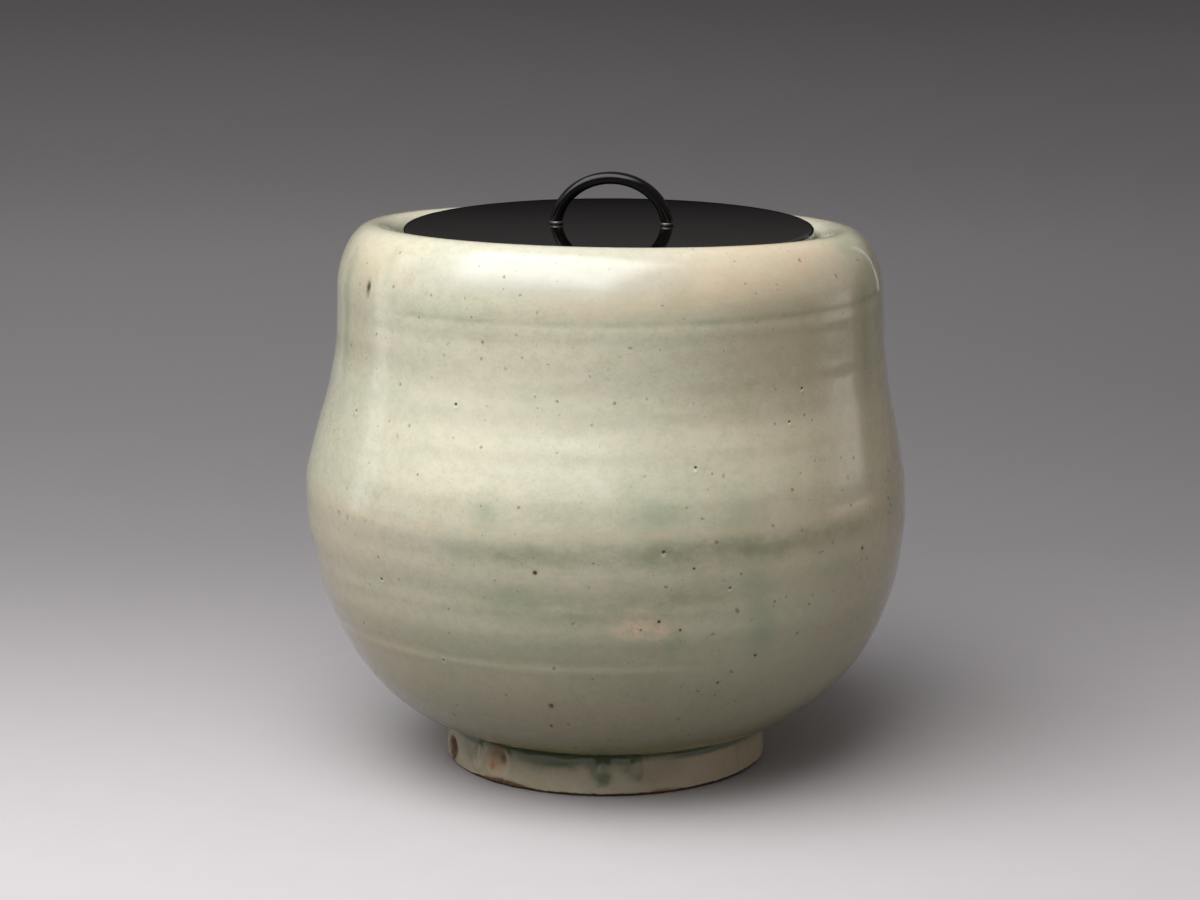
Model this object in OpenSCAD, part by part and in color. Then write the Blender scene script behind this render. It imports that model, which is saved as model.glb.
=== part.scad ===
// Water jar for the tea room: a thrown stoneware jar on a turned foot ring, with a loose lacquered lid.
// Millimetres, +Z up. The origin is the centre of the foot ring on the table, and the front faces -Y.

/* [Jar] */
// Greatest diameter, at the belly
belly_d = 189; // [176:0.5:230]
// Height of the bowl, from the top of the foot ring up to the belly
bowl_h = 71.5; // [50:0.5:95]
// How far the curve of the bowl would dip below the top of the foot ring
bowl_dip = 0.7; // [0.2:0.1:3]
// Height of the curve that draws in from the belly to the neck
waist_h = 53.5; // [35:0.5:80]
// Diameter of the upright neck
neck_d = 171.6; // [150:0.2:186]
// Height of the upright neck
neck_h = 10; // [0.5:0.5:40]
// Height of the rounded shoulder, from the neck up to the crest of the rim
shoulder_h = 23.5; // [15:0.5:32]
// How far the crest of the rim lies inside the neck
shoulder_w = 12.4; // [6:0.1:18]
// Thickness of the thrown wall
wall_t = 7.5; // [4:0.1:11]
// Thickness of the floor above the foot ring
floor_t = 9; // [5:0.5:20]
// Diameter of the flat part of the floor inside
floor_d = 76; // [50:1:100]

/* [Lid seat] */
// Width of the rounded lip, from the crest of the rim in to the wall of the recess
lip_w = 7.2; // [3:0.1:12]
// Height of the rounded lip
lip_h = 6.4; // [3:0.1:7.4]
// Depth of the ledge below the crest of the rim
seat_depth = 7.8; // [6.8:0.1:14]
// Width of the ledge that the lid lies on
seat_w = 9; // [5:0.1:20]
// Thickness of the ledge at the mouth
seat_t = 6; // [4:0.1:10]
// Height of the hollow curve under the ledge
cove_h = 16; // [8:0.5:24]

/* [Foot ring] */
// Diameter of the foot ring at the table
foot_d = 103; // [90:0.5:130]
// Height of the foot ring
foot_h = 13; // [6:0.5:25]
// How far the outside of the foot ring leans in towards its top
foot_taper = 1; // [0:0.1:3]
// Thickness of the foot ring
foot_wall = 8; // [6:0.1:14]
// Bevel on both edges that stand on the table
foot_bevel = 0.8; // [0.3:0.1:2]
// Width of the groove left between the bowl and the edge of the foot ring
groove_w = 1.2; // [0.4:0.1:2]

/* [Lid] */
// Clearance all round between the lid and the wall of the recess
lid_gap = 2; // [0.5:0.1:3]
// Thickness of the lid
lid_t = 6; // [5:0.1:10]
// Radius of the upper edge of the lid
lid_edge_r = 2.2; // [0.5:0.1:3]
// Radius of the lower edge of the lid
lid_under_r = 1; // [0.3:0.1:1.8]

/* [Handle] */
// Distance between the two legs of the handle, at the lid
handle_span = 34.8; // [24:0.2:60]
// Height of the handle above the lid
handle_rise = 16.9; // [12:0.1:40]
// Diameter of the rod that the handle is bent from
rod_d = 3.9; // [3.4:0.1:4.8]
// Turn of the handle away from the front of the jar
handle_turn = -6; // [-90:1:90]
// How far the handle stands to the right of the middle of the lid
handle_off = 1; // [0:0.1:5]
// Diameter of the peg at the end of each leg
peg_d = 2.6; // [1.6:0.1:3.2]
// Depth of the socket in the lid for the peg
socket_l = 4; // [2:0.1:4.8]
// Clearance round the peg in its ring and socket
peg_gap = 0.05; // [0.02:0.01:0.15]
// Diameter of the ring under each leg, where it meets the lid
ring_d = 5; // [4:0.1:8]
// Thickness of the ring under each leg
ring_t = 0.9; // [0.6:0.1:2]

/* [Hidden] */
$fn = 96;

// Steps in each curve of the turned outlines
curve_steps = 20;

// Radii of the jar, from the outside in
belly_r = belly_d / 2;
neck_r = neck_d / 2;
rim_r = neck_r - shoulder_w;
recess_r = rim_r - lip_w;
mouth_r = recess_r - seat_w;
lid_r = recess_r - lid_gap;
belly_in_r = belly_r - wall_t;
neck_in_r = neck_r - wall_t;
floor_r = floor_d / 2;

// Heights of the jar, from the table up
belly_z = foot_h + bowl_h;
neck_z = belly_z + waist_h;
shoulder_z = neck_z + neck_h;
rim_z = shoulder_z + shoulder_h;
seat_z = rim_z - seat_depth;
cove_z = seat_z - seat_t - cove_h;
floor_z = foot_h + floor_t;
lid_top_z = seat_z + lid_t;

// Foot ring, and the circle where the bowl meets it
foot_r = foot_d / 2;
foot_top_r = foot_r - foot_taper;
foot_in_r = foot_r - foot_wall;
join_r = foot_top_r - groove_w;

// The bowl is a quarter ellipse that passes through the join and dips just below it
bowl_b = bowl_h + bowl_dip;
bowl_start = -asin(bowl_h / bowl_b);
bowl_mid_r = (join_r - belly_r * cos(bowl_start)) / (1 - cos(bowl_start));

// The handle is one arc through both legs and the top of the arch, measured from the top of the lid
arch_h = handle_rise - rod_d / 2;
arch_r = (arch_h * arch_h + handle_span * handle_span / 4) / (2 * arch_h);
arch_z = arch_h - arch_r;
leg_x = sqrt(arch_r * arch_r - (ring_t - arch_z) * (ring_t - arch_z));
// The peg stops short of the bottom of its socket, and its root runs up into the leg
peg_l = socket_l - peg_gap;
peg_root_l = rod_d / 3;

// Points along part of an ellipse, by its middle, its half width and half height, and two angles
function ellipse_points(mid_r, mid_z, half_w, half_h, from, to) = [
    for (i = [0 : curve_steps])
        let (a = from + (to - from) * i / curve_steps)
        [mid_r + half_w * cos(a), mid_z + half_h * sin(a)]
];

// Points along a smooth draw from one radius to another, without the two ends
function draw_points(from_r, from_z, to_r, to_z) = [
    for (i = [1 : curve_steps - 1])
        let (t = i / curve_steps)
        [to_r + (from_r - to_r) * (1 + cos(180 * t)) / 2, from_z + (to_z - from_z) * t]
];

function jar_outside() = concat(
    [[0, foot_h]],
    ellipse_points(bowl_mid_r, belly_z, belly_r - bowl_mid_r, bowl_b, bowl_start, 0),
    draw_points(belly_r, belly_z, neck_r, neck_z),
    [[neck_r, neck_z]],
    ellipse_points(rim_r, shoulder_z, shoulder_w, shoulder_h, 0, 90)
);

function jar_inside() = concat(
    ellipse_points(rim_r, rim_z - lip_h, lip_w, lip_h, 90 + 90 / curve_steps, 180),
    [[recess_r, seat_z], [mouth_r, seat_z]],
    ellipse_points(mouth_r, cove_z, neck_in_r - mouth_r, cove_h, 90, 0),
    draw_points(neck_in_r, cove_z, belly_in_r, belly_z),
    ellipse_points(floor_r, belly_z, belly_in_r - floor_r, belly_z - floor_z, 0, -90),
    [[0, floor_z]]
);

// Moves its children to the middle of the handle on top of the lid
module on_lid() {
    translate([handle_off, 0, lid_top_z])
        rotate(handle_turn)
            children();
}

module jar_body() {
    color("#c3bda3")
        rotate_extrude()
            polygon(concat(jar_outside(), jar_inside()));
}

module foot_ring() {
    color("#a39c82")
        rotate_extrude()
            polygon(concat(
                [[foot_in_r + foot_bevel, 0], [foot_r - foot_bevel, 0], [foot_r, foot_bevel]],
                ellipse_points(join_r, foot_h - groove_w, groove_w, groove_w, 0, 90),
                [[foot_in_r, foot_h], [foot_in_r, foot_bevel]]
            ));
}

module lid_board() {
    color("#1c1a1a")
        difference() {
            rotate_extrude()
                polygon(concat(
                    [[0, seat_z]],
                    ellipse_points(lid_r - lid_under_r, seat_z + lid_under_r, lid_under_r, lid_under_r, -90, 0),
                    ellipse_points(lid_r - lid_edge_r, lid_top_z - lid_edge_r, lid_edge_r, lid_edge_r, 0, 90),
                    [[0, lid_top_z]]
                ));
            on_lid()
                for (side = [-1, 1])
                    translate([side * leg_x, 0, -socket_l])
                        cylinder(h = 2 * socket_l, d = peg_d + 2 * peg_gap);
        }
}

module lid_handle() {
    color("#121011")
        on_lid() {
            difference() {
                translate([0, 0, arch_z])
                    rotate([90, 0, 0])
                        rotate_extrude()
                            translate([arch_r, 0])
                                circle(d = rod_d);
                // Everything below the rings is cut away, so each leg ends flat on its ring
                translate([-2 * arch_r, -rod_d, ring_t - 3 * arch_r])
                    cube([4 * arch_r, 2 * rod_d, 3 * arch_r]);
            }
            for (side = [-1, 1])
                translate([side * leg_x, 0, -peg_l])
                    cylinder(h = peg_l + ring_t + peg_root_l, d = peg_d);
        }
}

// One ring round a peg, on the left (-1) or the right (1) leg, flared from the leg out to the lid
module handle_ring(side) {
    color("#8f8a86")
        on_lid()
            translate([side * leg_x, 0, 0])
                difference() {
                    cylinder(h = ring_t, d1 = ring_d, d2 = rod_d);
                    translate([0, 0, -ring_t])
                        cylinder(h = 3 * ring_t, d = peg_d + 2 * peg_gap);
                }
}

module handle_ring_left() {
    handle_ring(-1);
}

module handle_ring_right() {
    handle_ring(1);
}

jar_body();
foot_ring();
lid_board();
lid_handle();
handle_ring_left();
handle_ring_right();
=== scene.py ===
# A tea-room water jar: glazed stoneware on a turned foot, under a lacquered lid with an arched handle.
import math
import bpy
import numpy as np
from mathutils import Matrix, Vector, noise


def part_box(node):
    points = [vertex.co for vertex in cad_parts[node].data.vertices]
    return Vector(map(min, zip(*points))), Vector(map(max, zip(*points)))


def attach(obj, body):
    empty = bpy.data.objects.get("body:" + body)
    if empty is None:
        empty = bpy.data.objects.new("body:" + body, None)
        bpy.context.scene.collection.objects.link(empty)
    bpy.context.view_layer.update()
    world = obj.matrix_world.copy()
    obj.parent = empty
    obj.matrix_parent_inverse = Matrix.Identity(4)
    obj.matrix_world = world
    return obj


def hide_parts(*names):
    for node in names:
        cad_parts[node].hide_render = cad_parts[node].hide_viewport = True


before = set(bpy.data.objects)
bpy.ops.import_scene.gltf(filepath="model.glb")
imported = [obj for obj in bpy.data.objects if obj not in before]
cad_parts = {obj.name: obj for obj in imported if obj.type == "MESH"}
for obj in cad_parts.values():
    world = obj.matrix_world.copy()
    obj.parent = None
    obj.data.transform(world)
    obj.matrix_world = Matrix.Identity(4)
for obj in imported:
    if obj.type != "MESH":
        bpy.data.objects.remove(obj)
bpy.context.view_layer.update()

# Camera. A long lens a metre in front of the jar and about 15 cm above its rim, looking slightly down.
# The image is taken to be 1200 by 900 pixels, and the jar stands a few pixels right of its middle.
image_width = 1200
focal_pixels = 3231
camera_tilt = math.radians(12.29)
camera_data = bpy.data.cameras.new("camera")
camera_data.sensor_width = 36
camera_data.lens = camera_data.sensor_width * focal_pixels / image_width
camera = bpy.data.objects.new("camera", camera_data)
camera.location = (-0.0026, -1.0, 0.316)
camera.rotation_euler = (math.pi / 2 - camera_tilt, 0, 0)
scene = bpy.context.scene
scene.collection.objects.link(camera)
scene.camera = camera
scene.view_settings.view_transform = "Standard"

# Jar body. Thrown stoneware under a pale celadon glaze, with a rolled rim and a sunk ledge for the lid.
# It left the wheel a little lopsided: the rim dips to the back right, and the belly swells to the front.
mm = 0.001
jar_low, jar_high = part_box("jar_body")
foot_h = jar_low.z
rim_z = jar_high.z
belly_r, belly_z = 94.5 * mm, 84.5 * mm
neck_r, neck_z = 85.8 * mm, 138 * mm
shoulder_z = 148 * mm
rim_r = 73.4 * mm
lip_h = 6.4 * mm
recess_r = 66.2 * mm
seat_z = 163.7 * mm
mouth_r, mouth_z = 57.2 * mm, 157.7 * mm
cove_r, cove_z = 78.3 * mm, 141.7 * mm
inside_r = 87 * mm
floor_r, floor_z = 38 * mm, 22 * mm
join_r = 49.3 * mm
bowl_mid_r, bowl_half_h = 42 * mm, 72.2 * mm
# Each turned outline starts and ends this close to the axis, and a middle point closes it
core_r = 1 * mm
jar_segments = 320


def line(start, end, steps):
    """Points along a straight stretch of an outline, without its first point."""
    part = np.linspace(0, 1, steps + 1)[1:, None]
    return np.array(start) * (1 - part) + np.array(end) * part


def arc(middle, half_w, half_h, start, end, steps):
    """Points along part of an ellipse, between two angles in degrees, without its first point."""
    turn = np.radians(np.linspace(start, end, steps + 1)[1:])
    return np.stack([middle[0] + half_w * np.cos(turn), middle[1] + half_h * np.sin(turn)], axis=1)


def draw(start, end, steps):
    """Points along a smooth draw from one radius to another, without its first point."""
    part = np.linspace(0, 1, steps + 1)[1:]
    swell = (1 + np.cos(np.pi * part)) / 2
    return np.stack([end[0] + (start[0] - end[0]) * swell, start[1] + (end[1] - start[1]) * part], axis=1)


def ease(low, high, value):
    """0 below low, 1 above high and a smooth step between them."""
    part = np.clip((value - low) / (high - low), 0, 1)
    return part * part * (3 - 2 * part)


def wrap_rings(name, rings, closed):
    """Skins a stack of rings into one closed mesh. An open stack gets a middle point at each end."""
    rows, segments = rings.shape[:2]
    points = rings.reshape(-1, 3).tolist()
    faces = []
    for row in range(rows if closed else rows - 1):
        here = row * segments
        over = (row + 1) % rows * segments
        for i in range(segments):
            j = (i + 1) % segments
            faces.append((here + i, here + j, over + j, over + i))
    if not closed:
        top = (rows - 1) * segments
        first, last = len(points), len(points) + 1
        points += [rings[0].mean(axis=0).tolist(), rings[-1].mean(axis=0).tolist()]
        faces += [(first, (i + 1) % segments, i) for i in range(segments)]
        faces += [(last, top + i, top + (i + 1) % segments) for i in range(segments)]
    mesh = bpy.data.meshes.new(name)
    mesh.from_pydata(points, [], faces)
    mesh.shade_smooth()
    mesh.set_sharp_from_angle(angle=math.radians(50))
    piece = bpy.data.objects.new(name, mesh)
    scene.collection.objects.link(piece)
    return piece


def ring_points(radius, height, angle, middle_x=0):
    """Points of a stack of rings. The angle runs from the front of the jar to its right side."""
    x, y, z = np.broadcast_arrays(middle_x + radius * np.sin(angle), -radius * np.cos(angle), height)
    return np.stack([x, y, z], axis=2)


def lumps(rings, size):
    """Smooth random swelling between -1 and 1 at each point, with lumps about that far apart."""
    flat = [noise.noise(Vector(point) / size) for point in rings.reshape(-1, 3)]
    return np.array(flat).reshape(rings.shape[:2])


bowl_start = -math.degrees(math.asin((belly_z - foot_h) / bowl_half_h))
outside = np.concatenate([
    line((core_r, foot_h), (join_r, foot_h), 8),
    arc((bowl_mid_r, belly_z), belly_r - bowl_mid_r, bowl_half_h, bowl_start, 0, 100),
    draw((belly_r, belly_z), (neck_r, neck_z), 64),
    line((neck_r, neck_z), (neck_r, shoulder_z), 12),
    arc((rim_r, shoulder_z), neck_r - rim_r, rim_z - shoulder_z, 0, 90, 30),
])
lip = np.concatenate([
    arc((rim_r, rim_z - lip_h), rim_r - recess_r, lip_h, 90, 180, 22),
    line((recess_r, rim_z - lip_h), (recess_r, seat_z), 2),
])
inside = np.concatenate([
    line((recess_r, seat_z), (mouth_r, seat_z), 6),
    line((mouth_r, seat_z), (mouth_r, mouth_z), 4),
    arc((mouth_r, cove_z), cove_r - mouth_r, mouth_z - cove_z, 90, 0, 14),
    draw((cove_r, cove_z), (inside_r, belly_z), 18),
    arc((floor_r, belly_z), inside_r - floor_r, belly_z - floor_z, 0, -90, 20),
    line((floor_r, floor_z), (core_r, floor_z), 6),
])

# Throwing marks on the outside: height, reach below and above it, and rise in millimetres, grooves below 0,
# then the stretch of wall that each runs along, by its middle and half its width in degrees
throwing_marks = (
    (151.2, 1.2, 1.4, -0.13, 12, 58),
    (149, 8.0, 6.0, -0.35, 0, 200),
    (148.6, 1.7, 1.7, 0.07, 0, 58),
    (145.6, 1.3, 1.6, -0.07, -8, 52),
    (140.6, 2.0, 2.6, 0.09, -25, 55),
    (134.4, 2.0, 2.8, 0.1, 24, 48),
    (127, 3.0, 3.4, 0.14, 0, 200),
    (115.8, 2.4, 4.0, 0.16, 14, 60),
    (102, 3.0, 4.0, 0.16, 0, 55),
    (98, 13.0, 17.0, 2.0, -3, 50),
    (89, 6.0, 5.0, 0.5, -5, 62),
    (92, 9.0, 5.0, 0.4, -90, 30),
    (90, 5.0, 7.0, 0.4, 90, 30),
    (94, 10.0, 16.0, 1.3, 178, 55),
    (86, 5.0, 5.0, 0.4, 170, 60),
    (79, 6.0, 5.0, 0.42, 0, 200),
    (68.6, 2.0, 2.0, 0.12, -20, 50),
    (60.5, 4.5, 4.0, 0.20, 0, 200),
    (51.8, 1.4, 2.0, -0.15, -32, 42),
    (49.4, 1.7, 1.8, 0.11, -28, 48),
    (40, 5.0, 5.0, 0.12, 150, 80),
)
# How far the marks swing up and down as they run round the jar, in one wave and in two
swing_once, swing_twice = 0.8 * mm, 0.5 * mm
# How far the wall leans to the right of its axis at some heights, in millimetres
lean_heights = (13, 20, 46, 71, 95, 117, 135, 155, 171)
lean_steps = (0, 0.35, 0.4, -0.2, -1.0, 0.1, 0.7, 0.6, 0.5)
# How far the crest of the rim tilts up towards the front left, and how far it sank as a whole
rim_dip, rim_sink = 4.1 * mm, 1.35 * mm
rim_high_at = math.radians(-15)
rim_dip_from = 128 * mm
# Uneven swelling of the wall, in wide and in narrow lumps
wide_lump, narrow_lump = 0.35 * mm, 0.09 * mm

around = np.linspace(0, 2 * math.pi, jar_segments, endpoint=False)[None, :]
front_rise = rim_dip * np.cos(around - rim_high_at) - rim_sink
swing = swing_once * np.sin(around + 0.6) + swing_twice * np.sin(2 * around + 2.1)

out_r, out_z = outside[:, :1], outside[:, 1:]
ripple = np.zeros((len(outside), jar_segments))
for mark_z, below, above, rise, middle, half_width in throwing_marks:
    off = out_z - swing - mark_z * mm
    reach = np.where(off < 0, below, above) * mm
    from_middle = np.abs((np.degrees(around) - middle + 180) % 360 - 180)
    along = 1 - ease(half_width - 16, half_width + 16, from_middle)
    ripple += rise * mm * along * np.exp(-((off / reach) ** 2))
# The marks and lumps fade out towards the foot and the crest of the rim
free = ease(foot_h, 20 * mm, out_z) * (1 - ease(162 * mm, rim_z, out_z))
lean = np.interp(out_z / mm, lean_heights, lean_steps) * mm
smooth_wall = ring_points(out_r, out_z, around)
uneven = wide_lump * lumps(smooth_wall, 48 * mm) + narrow_lump * lumps(smooth_wall, 15 * mm)
risen_z = out_z + front_rise * ease(rim_dip_from, rim_z, out_z)
outside_rings = ring_points(out_r + free * (ripple + uneven), risen_z, around, lean)

lip_r, lip_z = lip[:, :1], lip[:, 1:]
lip_stretch = (rim_z + front_rise - seat_z) / (rim_z - seat_z)
lip_lean = lean[-1] * ease(recess_r, rim_r, lip_r)
lip_rings = ring_points(lip_r, seat_z + (lip_z - seat_z) * lip_stretch, around, lip_lean)

# The potter's fingers left one shallow spiral on the inside
finger_pitch, finger_depth = 12 * mm, 0.3 * mm
in_r, in_z = inside[:, :1], inside[:, 1:]
fingers = np.sin(2 * math.pi * in_z / finger_pitch + around) * finger_depth
fingers = fingers * ease(floor_z, 34 * mm, in_z) * (1 - ease(120 * mm, cove_z, in_z))
inside_rings = ring_points(in_r + fingers, in_z, around)

jar = wrap_rings("jar", np.concatenate([outside_rings, lip_rings, inside_rings]), closed=False)
# The inside has a plain glaze of its own
inside_from = (len(outside) + len(lip) - 1) * jar_segments
inside_to = (len(outside) + len(lip) + len(inside) - 1) * jar_segments
for face in jar.data.polygons[inside_from:inside_to]:
    face.material_index = 1
for face in jar.data.polygons[inside_to + jar_segments:]:
    face.material_index = 1


class Signal:
    """One output in a material's nodes. Python sums on it add the Math nodes."""

    def __init__(self, tree, socket):
        self.tree = tree
        self.socket = socket

    def node(self, kind, settings, sockets, output=0):
        """Adds a node: its settings first, then the values or links of its sockets. Returns one output."""
        made = self.tree.nodes.new(kind)
        for name, value in settings.items():
            setattr(made, name, value)
        for name, value in sockets.items():
            if isinstance(value, Signal):
                self.tree.links.new(value.socket, made.inputs[name])
            else:
                made.inputs[name].default_value = value
        return Signal(self.tree, made.outputs[output] if made.outputs else None)

    def other(self, output):
        """Another output of the same node."""
        return Signal(self.tree, self.socket.node.outputs[output])

    def to(self, socket):
        self.tree.links.new(self.socket, socket)

    def math(self, operation, *values):
        return self.node("ShaderNodeMath", {"operation": operation}, dict(enumerate(values)))

    def __add__(self, other):
        return self.math("ADD", self, other)

    __radd__ = __add__

    def __sub__(self, other):
        return self.math("SUBTRACT", self, other)

    def __rsub__(self, other):
        return self.math("SUBTRACT", other, self)

    def __mul__(self, other):
        return self.math("MULTIPLY", self, other)

    __rmul__ = __mul__

    def __truediv__(self, other):
        return self.math("DIVIDE", self, other)

    def __rtruediv__(self, other):
        return self.math("DIVIDE", other, self)

    def __pow__(self, power):
        return self.math("POWER", self, power)

    def step(self, low, high):
        """0 below low, 1 above high and a smooth step between them."""
        sockets = {"Value": self, "From Min": low, "From Max": high}
        return self.node("ShaderNodeMapRange", {"interpolation_type": "SMOOTHSTEP"}, sockets)

    def bell(self, middle, reach):
        """1 at middle, falling smoothly to nothing about twice the reach away."""
        return self.math("EXPONENT", ((self - middle) / reach) ** 2 * -1)

    def largest(self, other):
        return self.math("MAXIMUM", self, other)

    def axis(self, name):
        return self.node("ShaderNodeSeparateXYZ", {}, {0: self}, name)

    def stretched(self, scale):
        return self.node("ShaderNodeVectorMath", {"operation": "MULTIPLY"}, {0: self, 1: scale})

    def grain(self, scale, detail=2.0, roughness=0.5):
        """Noise about 0.5, with that many features to the metre."""
        sockets = {"Vector": self, "Scale": scale, "Detail": detail, "Roughness": roughness}
        return self.node("ShaderNodeTexNoise", {}, sockets)

    def over(self, under, colour):
        """The under colour, with another colour laid on it where this signal is 1."""
        return self.node("ShaderNodeMix", {"data_type": "RGBA"}, {0: self, 6: under, 7: colour}, 2)


def colour(red, green, blue):
    """A colour as a screen shows it, from 0 to 255, for a shader."""
    shares = [part / 255 for part in (red, green, blue)]
    return [s / 12.92 if s <= 0.04045 else ((s + 0.055) / 1.055) ** 2.4 for s in shares] + [1]


def new_material(name):
    """A material with one shader, and the place on the piece in metres as its first signal."""
    material = bpy.data.materials.new(name)
    material.use_nodes = True
    tree = material.node_tree
    tree.nodes.clear()
    place = Signal(tree, None).node("ShaderNodeTexCoord", {}, {}, "Object")
    surface = place.node("ShaderNodeBsdfPrincipled", {}, {})
    place.node("ShaderNodeOutputMaterial", {}, {"Surface": surface})
    return material, surface.socket.node, place


def bump(height, distance):
    """A normal that follows a height from 0 to 1, for a relief of that many metres."""
    return height.node("ShaderNodeBump", {}, {"Strength": 1.0, "Distance": distance, "Height": height})


glaze_relief = 0.35 * mm
cream = colour(208, 203, 182)
pale_green = colour(190, 198, 177)
deep_green = colour(138, 144, 113)
wash_and_shade_green = colour(150, 166, 139)
warm_beige = colour(213, 190, 162)
bare_clay = colour(228, 202, 176)
iron_brown = colour(18, 9, 6)
speck_brown = colour(92, 68, 48)
rust = colour(128, 88, 58)
ochre = colour(176, 138, 74)
# Near-white, for thick pale glaze and for painted highlights
white_glaze_and_glint = colour(240, 234, 218)


def celadon(place):
    """The plain glaze: its cloudy colour, its fine mottle and its relief."""
    clouds = place.stretched((1, 1, 2.2)).grain(15, 4.0, 0.6)
    warmth = place.stretched((1, 1, 1.7)).grain(24, 4.0, 0.65)
    streaks = place.stretched((0.2, 0.2, 1)).grain(170, 3.0, 0.6)
    mottle = place.stretched((1, 1, 1.3)).grain(250, 5.0, 0.75)
    grain = place.grain(1100, 3.0, 0.7)
    depth = clouds.step(0.35, 0.75) * 0.45 + (streaks - 0.5) * 0.9 + (mottle - 0.5) * 1.9
    tone = depth.over(cream, pale_green)
    tone = (warmth.step(0.5, 0.8) * 0.22 + (mottle - 0.5) * 1.5 + (grain - 0.5) * 0.9).over(tone, warm_beige)
    tone = (grain.step(0.5, 0.8) * 0.25 + mottle.step(0.38, 0.66) * 0.13).over(tone, deep_green)
    relief = place.grain(85, 2.0) * 0.4 + streaks * 0.2 + mottle * 0.04
    return tone, mottle, relief


def freckles(place, scale, share, size):
    """Small uneven specks: about that share of the cells of a pattern hold one."""
    bend = place.node("ShaderNodeTexNoise", {}, {"Vector": place, "Scale": scale * 2.4}, "Color")
    pulled = {0: bend, 1: (0.4 / scale,) * 3, 2: place}
    bent = place.node("ShaderNodeVectorMath", {"operation": "MULTIPLY_ADD"}, pulled)
    cells = place.node("ShaderNodeTexVoronoi", {}, {"Vector": bent, "Scale": scale}, "Distance")
    chance = cells.other("Color").axis("X")
    held = 1 - chance.step(share * 0.8, share)
    reach = cells.other("Color").axis("Y") * size + size * 0.5
    return (1 - (cells / reach).step(0.2, 1)) * held


class Wall:
    """The outside of a turned piece laid flat, by the angle from its front and the height on it."""

    def __init__(self, place, radius, ragged):
        self.radius = radius
        self.ragged = ragged
        self.height = place.axis("Z")
        self.front_angle = place.math("ARCTAN2", place.axis("X"), place.axis("Y") * -1)
        self.along = self.front_angle * radius

    def oval(self, angle, middle, half_w, half_h):
        """Way to the right of an oval's middle, and distance from it, both 1 at the oval's edge."""
        across = (self.along - math.radians(angle) * self.radius) / (half_w * mm)
        up = (self.height - middle * mm) / (half_h * mm)
        return across, (across * across + up * up) ** 0.5

    def patch(self, angle, middle, half_w, half_h, edge=0.45):
        """1 inside a soft ragged oval, by its angle in degrees and its height and size in millimetres."""
        away = self.oval(angle, middle, half_w, half_h)[1] + self.ragged * edge
        return 1 - away.step(1 - edge, 1 + edge)

    def spots(self, places):
        """1 on each of some small round places, by angle, height and radius, and 0 elsewhere."""
        sheet = self.along.node("ShaderNodeCombineXYZ", {}, {"X": self.along, "Z": self.height})
        mask = self.height * 0
        for angle, middle, size in places:
            at = (math.radians(angle) * self.radius, 0, middle * mm)
            away = sheet.node("ShaderNodeVectorMath", {"operation": "DISTANCE"}, {0: sheet, 1: at}, "Value")
            away = away + self.ragged * (0.25 * mm)
            mask = mask.largest(1 - away.step(size * 0.4 * mm, size * 1.05 * mm))
        return mask


glaze, glaze_shader, place = new_material("celadon_glaze")
glaze_tone, mottle, relief = celadon(place)
ragged = (place.stretched((1, 1, 1.5)).grain(95, 5.0, 0.65) - 0.5) * 2
drift = place.stretched((1, 1, 2.5)).grain(28, 3.0, 0.6) - 0.5
jar_wall = Wall(place, 90 * mm, ragged)
height = jar_wall.height
front_angle = jar_wall.front_angle
level = height - front_angle.math("SINE", front_angle + 0.6) * swing_once
level = level - front_angle.math("SINE", front_angle * 2 + 2.1) * swing_twice

# Darker and browner towards the foot
glaze_tone = ((1 - height.step(30 * mm, 94 * mm)) * 0.32).over(glaze_tone, colour(148, 137, 104))
# Green where the glaze ran together, in bands under the throwing marks: height, reach, strength, two angles
pool_bands = (
    (152.5, 1.2, 0.5, -48, 80),
    (146.5, 3.0, 0.2, -30, 85),
    (155.5, 2.6, 0.3, 22, 75),
    (107, 8.0, 0.3, 6, 60),
    (103, 9.0, 0.15, -14, 8),
    (87, 5.5, 0.6, -26, 62),
    (87.5, 4.5, 0.35, 4, 50),
    (66, 4.0, 0.3, -16, 2),
    (76, 11.0, 0.28, -28, 24),
    (71, 5.0, 0.45, -24, 25),
    (57, 3.6, 0.25, -40, 20),
    (51.6, 1.1, 0.3, -66, 26),
    (86, 4.0, 0.5, 80, 160),
    (72, 4.0, 0.5, -165, -80),
)
# Washes and smudges, two of them partly painted shade, by angle, height, half their width and height, and
# strength
washes_and_shades = (
    (-22, 98.5, 4, 5, 0.45),
    (8, 98.5, 7, 5, 0.45),
    (24.5, 97.5, 6, 5, 0.45),
    (-27.5, 86.5, 5, 4, 0.45),
    (-17, 73.5, 8, 4, 0.4),
    (27, 77, 5, 7, 0.55),
    (29.5, 61, 4.5, 9, 0.75),
    (12, 61, 3, 4, 0.5),
    (-52, 165, 2.6, 5, 0.5),
    # Partly painted shade: a dark green streak between the pale reflections on the left of the neck
    (-70, 147, 3.6, 18, 0.6),
    (14, 163, 5, 6, 0.35),
    # Partly painted shade: a dark green streak between the right board's reflection and the jar's edge
    (64, 138, 4.5, 20, 0.55),
    (64, 169, 9, 3, 0.6),
    (68, 90, 8, 7, 0.5),
    (46, 77, 13, 12, 0.35),
    (-150, 110, 18, 26, 0.6),
    (165, 140, 12, 30, 0.5),
    (140, 90, 22, 18, 0.6),
    (105, 60, 14, 18, 0.6),
    (-110, 70, 12, 22, 0.5),
)
pooled = (1 - height.step(14 * mm, 30 * mm)) * 0.5 + drift * 0.4
for middle, reach, strength, first, last in pool_bands:
    along = front_angle.step(math.radians(first - 9), math.radians(first + 9))
    along = along * (1 - front_angle.step(math.radians(last - 12), math.radians(last + 12)))
    pooled = pooled + level.bell(middle * mm, reach * mm) * along * (strength * (1.3 * ragged + 1))
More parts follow.
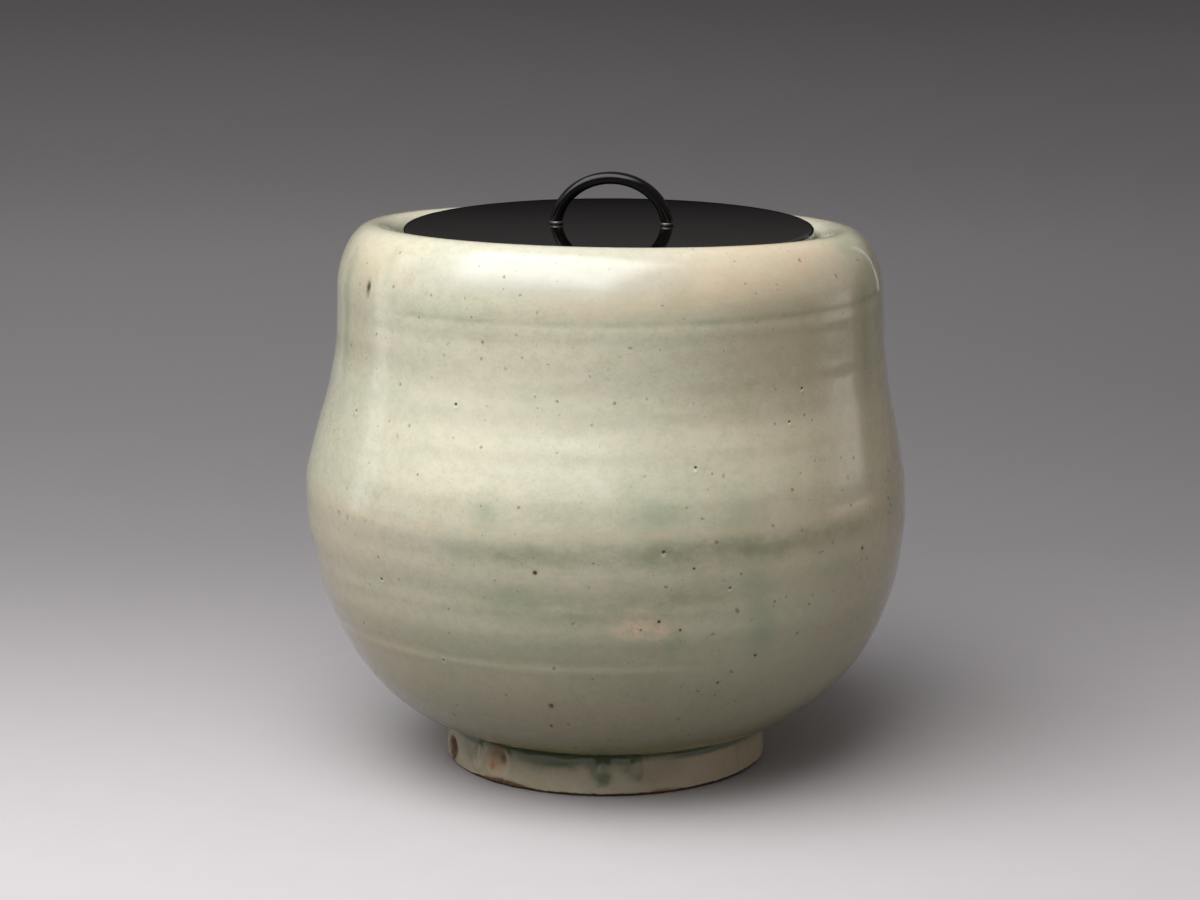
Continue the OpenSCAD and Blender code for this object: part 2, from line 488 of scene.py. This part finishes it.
glaze_tone = (pooled.step(-0.2, 1.5) * 0.85).over(glaze_tone, deep_green)
wash_and_shade_mask = drift * 0.4
for angle, middle, half_w, half_h, strength in washes_and_shades:
    wash_and_shade_mask = wash_and_shade_mask + jar_wall.patch(angle, middle, half_w, half_h, 0.95) * (strength * (0.6 * ragged + 1))
glaze_tone = wash_and_shade_mask.step(-0.1, 1.1).over(glaze_tone, wash_and_shade_green)

# Pinkish where the glaze is thin: along the ridge of the belly, and on the rim, the right side and the left,
# by angle, height, half their width and height, softness of the edge and strength
thin_places = (
    (38, 169, 40, 7, 0.7, 0.5),
    (-58, 166, 20, 7, 0.7, 0.3),
    (55, 110, 45, 60, 0.9, 0.3),
    (18, 160, 46, 5, 0.8, 0.35),
    (-55, 48, 22, 12, 0.8, 0.35),
    (-66, 82, 16, 14, 0.8, 0.35),
    (-50, 83, 14, 8, 0.8, 0.25),
)
thin = level.bell(92.5 * mm, 1.5 * mm) * (ragged + 0.4) * 0.5
for angle, middle, half_w, half_h, edge, strength in thin_places:
    thin = thin + jar_wall.patch(angle, middle, half_w, half_h, edge) * strength
glaze_tone = thin.over(glaze_tone, warm_beige)
# Duller and olive on both sides of the neck: partly the glaze's own tone, partly painted shade
dull_and_shaded = jar_wall.patch(36, 143, 30, 15, 0.8) * 0.35 + jar_wall.patch(-63, 146, 9, 15, 0.8) * 0.2
glaze_tone = dull_and_shaded.over(glaze_tone, colour(150, 138, 106))
# Whiter above the belly on the front left, a painted sheen of the soft box; greyer on the front of the rim,
# a painted shade that keeps the soft box's highlight there white; and greener low on the right
glaze_tone = (jar_wall.patch(-24, 124, 42, 17, 0.9) * 0.28).over(glaze_tone, colour(230, 226, 206))
# Painted shade on the front of the rim, where the soft box lights it most
rim_front_shade = jar_wall.patch(-14, 165.5, 38, 4.5, 0.6) * 0.6 + jar_wall.patch(-8, 173, 40, 4, 0.7) * 0.4
glaze_tone = rim_front_shade.over(glaze_tone, colour(188, 187, 177))
glaze_tone = (jar_wall.patch(40, 46, 34, 20, 0.9) * 0.4).over(glaze_tone, pale_green)
# Bare in one spot below the belly
bare_spot = jar_wall.patch(5.5, 64.6, 6.4, 3.8, 0.9).largest(jar_wall.patch(9, 64, 4.4, 3.2, 0.9))
bare_spot = bare_spot * place.grain(330, 4.0, 0.7).step(0.3, 0.62)
glaze_tone = (bare_spot * 0.85).over(glaze_tone, bare_clay)
# A brownish broken crease along the ridge on the left
crease = level.bell(90.3 * mm, 0.8 * mm) * front_angle.bell(math.radians(-54), 0.22)
glaze_tone = (crease * place.grain(420, 4.0, 0.8).step(0.45, 0.7) * 0.6).over(glaze_tone, rust)

# Iron spots, by angle, height and radius in millimetres, then rusty ones, then pits, each with a raised lip
# below that gets a painted highlight
iron_spots = (
    (-13, 82, 0.85),
    (-12, 38, 1.0),
    (-13, 30, 0.6),
    (54, 80, 0.75),
    (66, 91.5, 0.5),
    (67, 89, 0.5),
    (9, 67, 0.65),
    (13, 64, 0.55),
    (29, 53, 0.6),
    (22, 45, 0.55),
    (15, 83, 0.5),
    (160, 100, 0.9),
    (120, 60, 0.8),
    (-140, 70, 0.9),
)
rust_spots = (
    (-28, 154, 0.5),
    (-41, 152, 0.45),
    (-46, 80, 0.55),
    (-50, 70, 0.5),
    (-10, 131, 0.55),
    (-37, 107, 0.45),
    (-16, 101, 0.55),
    (19, 90.5, 0.75),
    (44, 168, 0.7),
    (24, 80, 0.5),
    (35, 103, 0.7),
    (56, 76, 0.5),
    (38, 58, 0.6),
    (-9, 31, 0.6),
    (19, 110, 0.5),
    (-110, 140, 0.9),
    (150, 60, 0.7),
)
pits = (
    (-31, 128, 0.55),
    (41, 131, 0.5),
    (37, 122, 0.5),
    (16, 112, 0.6),
    (9.5, 88.5, 0.7),
    (-34, 50, 0.5),
    (-46, 73, 0.5),
    (22, 76, 0.5),
    (-60, 120, 0.5),
)
pit_mask = jar_wall.spots(pits)
pit_lips_and_glints = jar_wall.spots([(angle, middle - 0.9, size * 1.5) for angle, middle, size in pits])
halos = jar_wall.spots([(angle, middle, size * 1.9) for angle, middle, size in iron_spots])
speckled = place.grain(38, 3.0, 0.6).step(0.38, 0.7) + bare_spot
glaze_tone = (freckles(place, 620, 0.6, 0.2) * (speckled * 0.3 + 0.06)).over(glaze_tone, rust)
glaze_tone = (freckles(place, 330, 0.45, 0.15) * (speckled * 0.55 + 0.15)).over(glaze_tone, speck_brown)
glaze_tone = (freckles(place, 190, 0.6, 0.12) * 0.6).over(glaze_tone, speck_brown)
glaze_tone = (freckles(place, 140, 0.4, 0.09) * 0.6).over(glaze_tone, ochre)
glaze_tone = (halos * 0.3).over(glaze_tone, ochre)
# Painted highlight: the raised lip below each pit is painted pale
glaze_tone = (pit_lips_and_glints * 0.38).over(glaze_tone, white_glaze_and_glint)
glaze_tone = (jar_wall.patch(-58.5, 157.4, 1.4, 2.4, 0.7) * 0.7).over(glaze_tone, speck_brown)
glaze_tone = (jar_wall.patch(-58.2, 158.0, 0.9, 1.3, 0.6) * 0.6).over(glaze_tone, iron_brown)
glaze_tone = (jar_wall.spots(rust_spots) * 0.65).over(glaze_tone, rust)
glaze_tone = (jar_wall.spots(iron_spots) * 0.95).over(glaze_tone, iron_brown)
glaze_tone = (pit_mask * 0.9).over(glaze_tone, colour(78, 36, 24))
glaze_tone.to(glaze_shader.inputs["Base Color"])
(0.08 + mottle * 0.06 + bare_spot * 0.15).to(glaze_shader.inputs["Roughness"])
glaze_shader.inputs["IOR"].default_value = 1.55
# The relief is finer on the rim, where the glaze lies smooth
pitted = relief * (1 - height.step(163 * mm, 169 * mm) * 0.8) - pit_mask * 1.2 + pit_lips_and_glints * 0.3
bump(pitted, glaze_relief).to(glaze_shader.inputs["Normal"])
jar.data.materials.append(glaze)

inside_glaze, inside_shader, place = new_material("inside_glaze")
inside_tone, mottle, relief = celadon(place)
inside_tone = (1 - place.axis("Z").step(20 * mm, 60 * mm)).over(inside_tone, pale_green)
inside_tone = (freckles(place, 160, 0.3, 0.09) * 0.7).over(inside_tone, rust)
inside_tone.to(inside_shader.inputs["Base Color"])
(0.12 + mottle * 0.08).to(inside_shader.inputs["Roughness"])
bump(relief, glaze_relief).to(inside_shader.inputs["Normal"])
jar.data.materials.append(inside_glaze)
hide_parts("jar_body")
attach(jar, "jar")

# Foot ring. Turned from the same clay and luted under the bowl, then glazed with it and wiped at its edge.
# Its glaze ran and pooled on the front, one scar was left bare, and a chip on the left shows brown clay.
foot_r, foot_top_r = 51.5 * mm, 50.5 * mm
foot_in_r = 43.5 * mm
foot_bevel, groove_w = 0.8 * mm, 1.2 * mm
foot_middle_x = -0.9 * mm
foot_segments = 720
foot_outline = np.concatenate([
    line((foot_in_r + foot_bevel, 0), (foot_r - foot_bevel, 0), 10),
    line((foot_r - foot_bevel, 0), (foot_r, foot_bevel), 3),
    line((foot_r, foot_bevel), (foot_top_r, foot_h - groove_w), 26),
    arc((join_r, foot_h - groove_w), foot_top_r - join_r, groove_w, 0, 90, 6),
    line((join_r, foot_h), (foot_in_r, foot_h), 6),
    line((foot_in_r, foot_h), (foot_in_r, foot_bevel), 14),
    line((foot_in_r, foot_bevel), (foot_in_r + foot_bevel, 0), 3),
])
foot_around = np.linspace(0, 2 * math.pi, foot_segments, endpoint=False)[None, :]
foot_row_r, foot_row_z = foot_outline[:, :1], foot_outline[:, 1:]
signed_angle = np.degrees((foot_around + math.pi) % (2 * math.pi) - math.pi)


def foot_oval(angle, middle, half_w, half_h):
    """Distance from the middle of an oval on the wall of the foot, where 1 is its edge."""
    across = np.radians(signed_angle - angle) * foot_r / (half_w * mm)
    return np.hypot(across, (foot_row_z - middle * mm) / (half_h * mm))


smooth_foot = ring_points(foot_row_r, foot_row_z, foot_around)
outer_face = ease(46 * mm, 49 * mm, foot_row_r)
# Lumps on the wall of the foot, which lies a little inside the turned outline
foot_swell = 0.16 * mm * lumps(smooth_foot, 14 * mm) + 0.05 * mm * lumps(smooth_foot, 5 * mm)
foot_swell -= 0.35 * mm
# The chip, the bare scar with its lip, and the thick ring of glaze beside it
chip_away = foot_oval(-73, 4.2, 5.6, 4.2) + 0.3 * lumps(smooth_foot, 3 * mm)
foot_swell -= 1.2 * mm * (1 - ease(0.45, 1.05, chip_away))
scar_away = foot_oval(-41.5, 7.2, 4.6, 4.8) + 0.3 * lumps(smooth_foot, 4 * mm)
scar_lip = ease(0.7, 1.05, scar_away) * (1 - ease(1.1, 1.6, scar_away))
scar_floor = 1 - ease(0.6, 1.0, scar_away)
foot_swell += 0.3 * mm * scar_lip - 0.35 * mm * scar_floor
gloss_away = foot_oval(-52, 7, 3.6, 4.6)
foot_swell += 0.35 * mm * np.exp(-(((gloss_away - 0.8) / 0.25) ** 2))
# Runs of glaze that stand out, by angle, height and half their width and height
thick_runs = (
    (-1, 8.5, 3.2, 5.2),
    (-22, 11, 11, 2.6),
    (11, 9, 2.4, 4.6),
)
for run in thick_runs:
    foot_swell += 0.4 * mm * (1 - ease(0.4, 1.1, foot_oval(*run)))
# The lower edge is worn
edge_worn = 0.5 * mm * np.abs(lumps(smooth_foot, 6 * mm)) * (1 - ease(0.5 * mm, 3 * mm, foot_row_z))
foot_wall_r = foot_row_r + outer_face * (foot_swell - edge_worn)
foot_rings = ring_points(foot_wall_r, foot_row_z, foot_around, foot_middle_x)
foot = wrap_rings("foot", foot_rings, closed=True)

foot_glaze, foot_shader, place = new_material("foot_glaze")
foot_tone, mottle, relief = celadon(place)
ragged = (place.grain(230, 5.0, 0.7) - 0.5) * 2
foot_middle = (foot_middle_x, 0, 0)
foot_place = place.node("ShaderNodeVectorMath", {"operation": "SUBTRACT"}, {0: place, 1: foot_middle})
foot_wall = Wall(foot_place, foot_r, ragged)
height = foot_wall.height
front_angle = foot_wall.front_angle
around_axis = foot_place.stretched((1, 1, 0))
away_from_axis = around_axis.node("ShaderNodeVectorMath", {"operation": "LENGTH"}, {0: around_axis}, "Value")
# The glaze is thin all over the foot, and thinnest on its right
foot_tone = (ragged.step(-0.6, 0.6) * 0.5 + 0.25).over(foot_tone, colour(196, 178, 148))
thin_right = front_angle.step(math.radians(8), math.radians(40)) * (ragged * 0.3 + 0.8)
thin_right = thin_right * (1 - front_angle.step(math.radians(95), math.radians(150)))
foot_tone = thin_right.over(foot_tone, colour(238, 220, 192))
groove_green = colour(106, 122, 92)
# Green glaze that ran down from the groove, by angle, height, half its width and height, and strength
runs = (
    (-24, 11, 12, 5.0, 0.6),
    (-12, 12, 14, 3.2, 0.6),
    (-2, 8.6, 3.8, 4.6, 0.8),
    (0.5, 5.2, 3.0, 2.2, 0.45),
    (6, 11, 2.6, 3.4, 0.6),
    (10, 8, 2.6, 4.2, 0.5),
    (16, 5.4, 3.6, 2.4, 0.5),
    (24, 7.4, 4, 2.6, 0.3),
    (38, 11.6, 16, 1.6, 0.7),
    (-57, 8.6, 6, 4.4, 0.6),
    (72, 11, 22, 3, 0.6),
    (118, 9, 12, 5, 0.7),
    (165, 10, 18, 4, 0.7),
    (-120, 9.5, 16, 5, 0.7),
)
foot_pool = (height + ragged * (1.2 * mm)).step(9.4 * mm, 12.4 * mm) * 0.95
for angle, middle, half_w, half_h, strength in runs:
    foot_pool = foot_pool + foot_wall.patch(angle, middle, half_w, half_h, 0.6) * strength
foot_tone = (foot_pool.step(0.0, 1.3) * 0.95).over(foot_tone, groove_green)
foot_tone = (foot_wall.patch(20, 8, 6, 4, 0.8) * 0.5).over(foot_tone, warm_beige)
foot_tone = (foot_wall.patch(55, 6.5, 0.5, 6, 0.5) * 0.16).over(foot_tone, rust)
scar = foot_wall.patch(-41.5, 7.2, 4.2, 4.6, 0.5)
chip = foot_wall.patch(-73, 4.2, 5.4, 4.0, 0.35)
scar_burn = (ragged + height.step(3 * mm, 11 * mm)).step(0.1, 1.3)
scar_tone = scar_burn.over(colour(212, 188, 162), colour(150, 118, 92))
foot_tone = scar.over(foot_tone, scar_tone)
foot_tone = (foot_wall.patch(-44, 5.4, 0.9, 1.2, 0.9) * 0.75).over(foot_tone, colour(196, 124, 70))
foot_tone = (foot_wall.patch(-39, 8.6, 0.9, 1.5, 0.9) * 0.7).over(foot_tone, colour(84, 60, 46))


def glaze_line_and_glint(angle, middle, half_w, half_h, side):
    """A pale line along the right (1) or left (-1) side of an oval on the foot: a painted highlight on thick
    glaze.
    """
    across, away = foot_wall.oval(angle, middle, half_w, half_h)
    edge = (away + ragged * 0.3).bell(1, 0.14)
    return edge * (across * side).step(0.35, 0.9) * ragged.step(-0.5, 0.4)


# Along the scar's right edge: thick white glaze, with a painted highlight on it
foot_tone = (glaze_line_and_glint(-41.5, 7.2, 4.4, 5.4, 1) * 0.6).over(foot_tone, white_glaze_and_glint)
# Left of the scar: a painted highlight, curved like a C, on the glossy ridge of glaze
foot_tone = (glaze_line_and_glint(-49.5, 7.8, 2.0, 3.4, -1) * 0.8).over(foot_tone, white_glaze_and_glint)
# A painted highlight on the drip of green glaze
foot_tone = (foot_wall.patch(-2.2, 9.2, 0.7, 1.1, 0.8) * 0.28).over(foot_tone, white_glaze_and_glint)
# Raw clay along the lower edge, in the chip and on the hidden inside
edge_band = front_angle.bell(math.radians(-39), 0.16) * (1.3 * mm) + 1.0 * mm
raw_edge = 1 - ((height + ragged * (0.9 * mm)) / edge_band).step(0.7, 1.25)
raw_inside = 1 - away_from_axis.step(45.5 * mm, 47 * mm)
raw = raw_edge.largest(chip).largest(raw_inside)
raw_tone = place.grain(700, 4.0, 0.75).step(0.3, 0.75).over(colour(84, 58, 42), colour(146, 110, 82))
foot_tone = raw.over(foot_tone, raw_tone)
foot_tone = (foot_wall.patch(21, 1.0, 4, 0.6, 0.9) * 0.7).over(foot_tone, colour(160, 100, 56))
foot_tone = (freckles(place, 480, 0.4, 0.15) * 0.45).over(foot_tone, rust)
foot_tone.to(foot_shader.inputs["Base Color"])
bare = raw.largest(scar * 0.7)
(0.1 + mottle * 0.06 + bare * 0.6).to(foot_shader.inputs["Roughness"])
bump(relief + bare * place.grain(900, 3.0, 0.7) * 0.8, glaze_relief).to(foot_shader.inputs["Normal"])
foot.data.materials.append(foot_glaze)
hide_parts("foot_ring")
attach(foot, "jar")

# Lid. A flat board of turned wood under many coats of black lacquer, polished until it mirrors its handle.
# It lies loose on the ledge inside the rim, and the pegs of its handle are glued into it.
lid_r, lid_top_z = 64.2 * mm, 169.7 * mm
lid_edge_r, lid_under_r = 1.1 * mm, 1 * mm
lid_dome = 0.5 * mm
lid_segments = 256
lid_outline = np.concatenate([
    line((core_r, seat_z), (lid_r - lid_under_r, seat_z), 10),
    arc((lid_r - lid_under_r, seat_z + lid_under_r), lid_under_r, lid_under_r, -90, 0, 6),
    line((lid_r, seat_z + lid_under_r), (lid_r, lid_top_z - lid_edge_r), 4),
    arc((lid_r - lid_edge_r, lid_top_z - lid_edge_r), lid_edge_r, lid_edge_r, 0, 90, 12),
    line((lid_r - lid_edge_r, lid_top_z), (core_r, lid_top_z), 40),
])
lid_around = np.linspace(0, 2 * math.pi, lid_segments, endpoint=False)[None, :]
lid_row_r, lid_row_z = lid_outline[:, :1], lid_outline[:, 1:]
dome = lid_dome * (1 - (lid_row_r / lid_r) ** 2) * ease(lid_top_z - lid_edge_r, lid_top_z, lid_row_z)
lid = wrap_rings("lid", ring_points(lid_row_r, lid_row_z + dome, lid_around), closed=False)

lacquer, lacquer_shader, place = new_material("lid_lacquer")
lacquer_black = colour(8, 7, 7)
lacquer_brown = colour(16, 12, 11)
wear = place.stretched((1, 1, 4)).grain(35, 4.0, 0.6)
lacquer_tone = (wear.step(0.5, 0.8) * 0.5).over(lacquer_black, lacquer_brown)
lacquer_tone = (freckles(place, 260, 0.05, 0.06) * 0.25).over(lacquer_tone, colour(110, 106, 102))
lacquer_tone.to(lacquer_shader.inputs["Base Color"])
(0.02 + wear * 0.03).to(lacquer_shader.inputs["Roughness"])
bump(place.grain(40, 2.0), 0.02 * mm).to(lacquer_shader.inputs["Normal"])
lid.data.materials.append(lacquer)
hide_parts("lid_board")
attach(lid, "lid")

# Handle. A thin rod bent into one arch and lacquered black, with a peg at the end of each leg.
# The pegs are glued into the lid, and the arch stands a little right of the middle, turned by a few degrees.
handle_x, handle_turn = 1 * mm, math.radians(-6)
rod_r, peg_r = 1.95 * mm, 1.3 * mm
arch_w, arch_h, arch_z = 17.35 * mm, 15.4 * mm, -0.8 * mm
ring_h = 0.9 * mm
peg_l = 3.9 * mm
rod_segments = 32
arch_end = math.asin((ring_h - arch_z) / arch_h)
leg_x = arch_w * math.cos(arch_end)
arch_steps = 96


def rod_ring(middle, along, radius):
    """One ring of the rod round a point of its path, square to the way that the path runs."""
    side = Vector((0, 1, 0))
    up = along.cross(side)
    turns = np.linspace(0, 2 * math.pi, rod_segments, endpoint=False)
    return [list(middle + (side * math.cos(t) + up * math.sin(t)) * radius) for t in turns]


down = Vector((0, 0, -1))
handle_rings = [
    rod_ring(Vector((-leg_x, 0, -peg_l)), -down, peg_r),
    rod_ring(Vector((-leg_x, 0, ring_h)), -down, peg_r),
]
for step in range(arch_steps + 1):
    turn = math.pi - arch_end - (math.pi - 2 * arch_end) * step / arch_steps
    middle = Vector((arch_w * math.cos(turn), 0, arch_h * math.sin(turn) + arch_z))
    along = Vector((arch_w * math.sin(turn), 0, -arch_h * math.cos(turn))).normalized()
    handle_rings.append(rod_ring(middle, along, rod_r))
handle_rings.append(rod_ring(Vector((leg_x, 0, ring_h)), down, peg_r))
handle_rings.append(rod_ring(Vector((leg_x, 0, -peg_l)), down, peg_r))
handle = wrap_rings("handle", np.array(handle_rings), closed=False)
handle.location = (handle_x, 0, lid_top_z + lid_dome)
handle.rotation_euler = (0, 0, handle_turn)

rod_lacquer, rod_shader, place = new_material("handle_lacquer")
brushed = place.stretched((1, 3, 1)).grain(160, 3.0, 0.6)
rod_tone = (brushed.step(0.5, 0.8) * 0.5).over(colour(12, 11, 11), colour(26, 19, 16))
rod_tone.to(rod_shader.inputs["Base Color"])
(0.04 + brushed * 0.04).to(rod_shader.inputs["Roughness"])
rod_shader.inputs["Specular IOR Level"].default_value = 0.28
bump(brushed, 0.004 * mm).to(rod_shader.inputs["Normal"])
handle.data.materials.append(rod_lacquer)
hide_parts("lid_handle")
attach(handle, "lid")

# Rings of the handle. Two small turned collars of polished grey metal, one round each peg.
# Each is a low bead between the leg and the lid that hides the mouth of the socket.
collar_r, bead_w, bore_r = 2.0 * mm, 0.2 * mm, 1.35 * mm
collar_segments = 64
collar_outline = np.concatenate([
    line((bore_r, 0), (collar_r, 0), 3),
    arc((collar_r, ring_h / 2), bead_w, ring_h / 2, -90, 90, 12),
    line((collar_r, ring_h), (bore_r, ring_h), 3),
    line((bore_r, ring_h), (bore_r, 0), 3),
])
collar_around = np.linspace(0, 2 * math.pi, collar_segments, endpoint=False)[None, :]
collar_rings = ring_points(collar_outline[:, :1], collar_outline[:, 1:], collar_around)
ring_metal, ring_shader, place = new_material("ring_metal")
tarnish = place.grain(900, 3.0, 0.6)
tarnish.step(0.3, 0.8).over(colour(122, 117, 114), colour(92, 88, 85)).to(ring_shader.inputs["Base Color"])
(0.42 + tarnish * 0.12).to(ring_shader.inputs["Roughness"])
bump(tarnish, 0.01 * mm).to(ring_shader.inputs["Normal"])
ring_shader.inputs["Metallic"].default_value = 1.0
for side, word in ((-1, "left"), (1, "right")):
    collar = wrap_rings("ring_" + word, collar_rings, closed=True)
    along_x = Vector((math.cos(handle_turn), math.sin(handle_turn), 0))
    collar.location = Vector((handle_x, 0, lid_top_z + lid_dome)) + along_x * (side * leg_x)
    collar.data.materials.append(ring_metal)
    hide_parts("handle_ring_" + word)
    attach(collar, "lid")

# Studio. A wide sheet of pale paper, its colour turning grey behind the jar as a painted falloff of the
# light and darker on the right as painted shade, under a soft box at the front left that is brightest at its
# heart.
# A tall white board on the left, a low one on the right and a thin strip further round on the right show as
# pale streaks in the glaze.
floor_size = 12
floor_mesh = bpy.data.meshes.new("paper_floor")
half = floor_size / 2
corners = [(-half, -half, 0), (half, -half, 0), (half, half, 0), (-half, half, 0)]
floor_mesh.from_pydata(corners, [], [(0, 1, 2, 3)])
floor = bpy.data.objects.new("paper_floor", floor_mesh)
floor.location.z = -0.2 * mm
scene.collection.objects.link(floor)
# The paper's colour, with its painted falloff and shade, is seen directly and in reflections, and a darker
# one bounces light onto the jar
paper, paper_shader, place = new_material("paper_floor")
fibres = place.grain(60, 3.0)
# Darker on the right: painted shade, where the jar's shadow falls away from the soft box
side = place.axis("X").step(-0.6, 0.6)
near_paper = fibres.over(colour(190, 186, 188), colour(194, 190, 192))
middle_paper_shaded_right = side.over(colour(150, 147, 150), colour(142, 139, 142))
far_paper_shaded_right = side.over(colour(183, 180, 185), colour(169, 166, 171))
# Paler near the jar and greyer further back: a painted falloff of the light
paper_falloff_tone = place.axis("Y").step(-0.15, 0.3).over(near_paper, middle_paper_shaded_right)
paper_falloff_tone = place.axis("Y").step(0.35, 1.2).over(paper_falloff_tone, far_paper_shaded_right)
paper_falloff_tone = (place.axis("Y").step(1.8, 3.6) * 0.4).over(paper_falloff_tone, colour(110, 107, 111))
bounced = place.axis("X").step(0, 0.25).over(colour(101, 96, 81), colour(132, 124, 106))
rays = place.node("ShaderNodeLightPath", {}, {}, "Is Camera Ray")
seen = rays.largest(rays.other("Is Glossy Ray")).largest(rays.other("Is Transmission Ray"))
seen.over(bounced, paper_falloff_tone).to(paper_shader.inputs["Base Color"])
paper_shader.inputs["Roughness"].default_value = 0.9
paper_shader.inputs["Specular IOR Level"].default_value = 0.2
floor_mesh.materials.append(paper)

aim = Vector((0, 0, 0.1))


def soft_light(name, angle, lift, distance, width, tall, radiance, tint):
    """A rectangular soft light that faces the jar, by its angle from the front and its lift in degrees."""
    lamp = bpy.data.lights.new(name, "AREA")
    lamp.shape = "RECTANGLE"
    lamp.size = width
    lamp.size_y = tall
    lamp.energy = radiance * math.pi * width * tall
    lamp.color = tint
    light = bpy.data.objects.new(name, lamp)
    flat = math.cos(math.radians(lift))
    turn = math.radians(angle)
    away = Vector((math.sin(turn) * flat, -math.cos(turn) * flat, math.sin(math.radians(lift))))
    light.location = aim + away * distance
    light.rotation_euler = away.to_track_quat("Z", "Y").to_euler()
    light.visible_camera = False
    scene.collection.objects.link(light)


# The soft box as nested lamps, from its dim edge to its bright heart: angle, lift, width, height, radiance.
# Each hangs a little in front of the last, because lamps in one plane lose light
soft_box_away, soft_box_step = 0.84, 0.005
soft_box = (
    (-38, 56, 1.3, 1.15, 0.53),
    (-38, 56, 1.15, 1.0, 0.69),
    (-37, 57, 1.05, 0.86, 0.86),
    (-37, 57, 0.96, 0.74, 1.07),
    (-36, 58, 0.88, 0.62, 1.16),
    (-36, 58, 0.78, 0.5, 1.14),
)
for step, (angle, lift, width, tall, radiance) in enumerate(soft_box):
    away = soft_box_away - soft_box_step * step
    soft_light(f"soft_box_{step}", angle, lift, away, width, tall, radiance, (1, 1, 1))
# The boards. The right one is nested lamps as well, so that its reflection fades out round its edge
cool_white, warm_white = (0.94, 1, 1), (1, 0.95, 0.92)
soft_light("left_board", -103, 14, 0.6, 0.126, 0.47, 0.85, cool_white)
soft_light("right_board", 103.5, 2, 0.6, 0.15, 0.08, 0.4, warm_white)
soft_light("right_board_round", 102.5, 2.5, 0.61, 0.21, 0.12, 0.35, warm_white)
soft_light("right_board_edge", 101.5, 5, 0.62, 0.29, 0.29, 0.2, warm_white)
soft_light("right_strip", 143, 10, 0.6, 0.02, 0.25, 0.8, (1, 1, 0.96))

# The room: dark at eye level, where the lid mirrors it, and a dim grey overhead
world = bpy.data.worlds.new("studio")
world.use_nodes = True
scene.world = world
background = world.node_tree.nodes["Background"]
sky = Signal(world.node_tree, None).node("ShaderNodeTexCoord", {}, {}, "Generated")
sky_part = sky.node("ShaderNodeMapRange", {}, {"Value": sky.axis("Z"), "From Min": 0.1, "From Max": 0.3})
sky_part.over(colour(18, 17, 18), colour(124, 121, 119)).to(background.inputs["Color"])
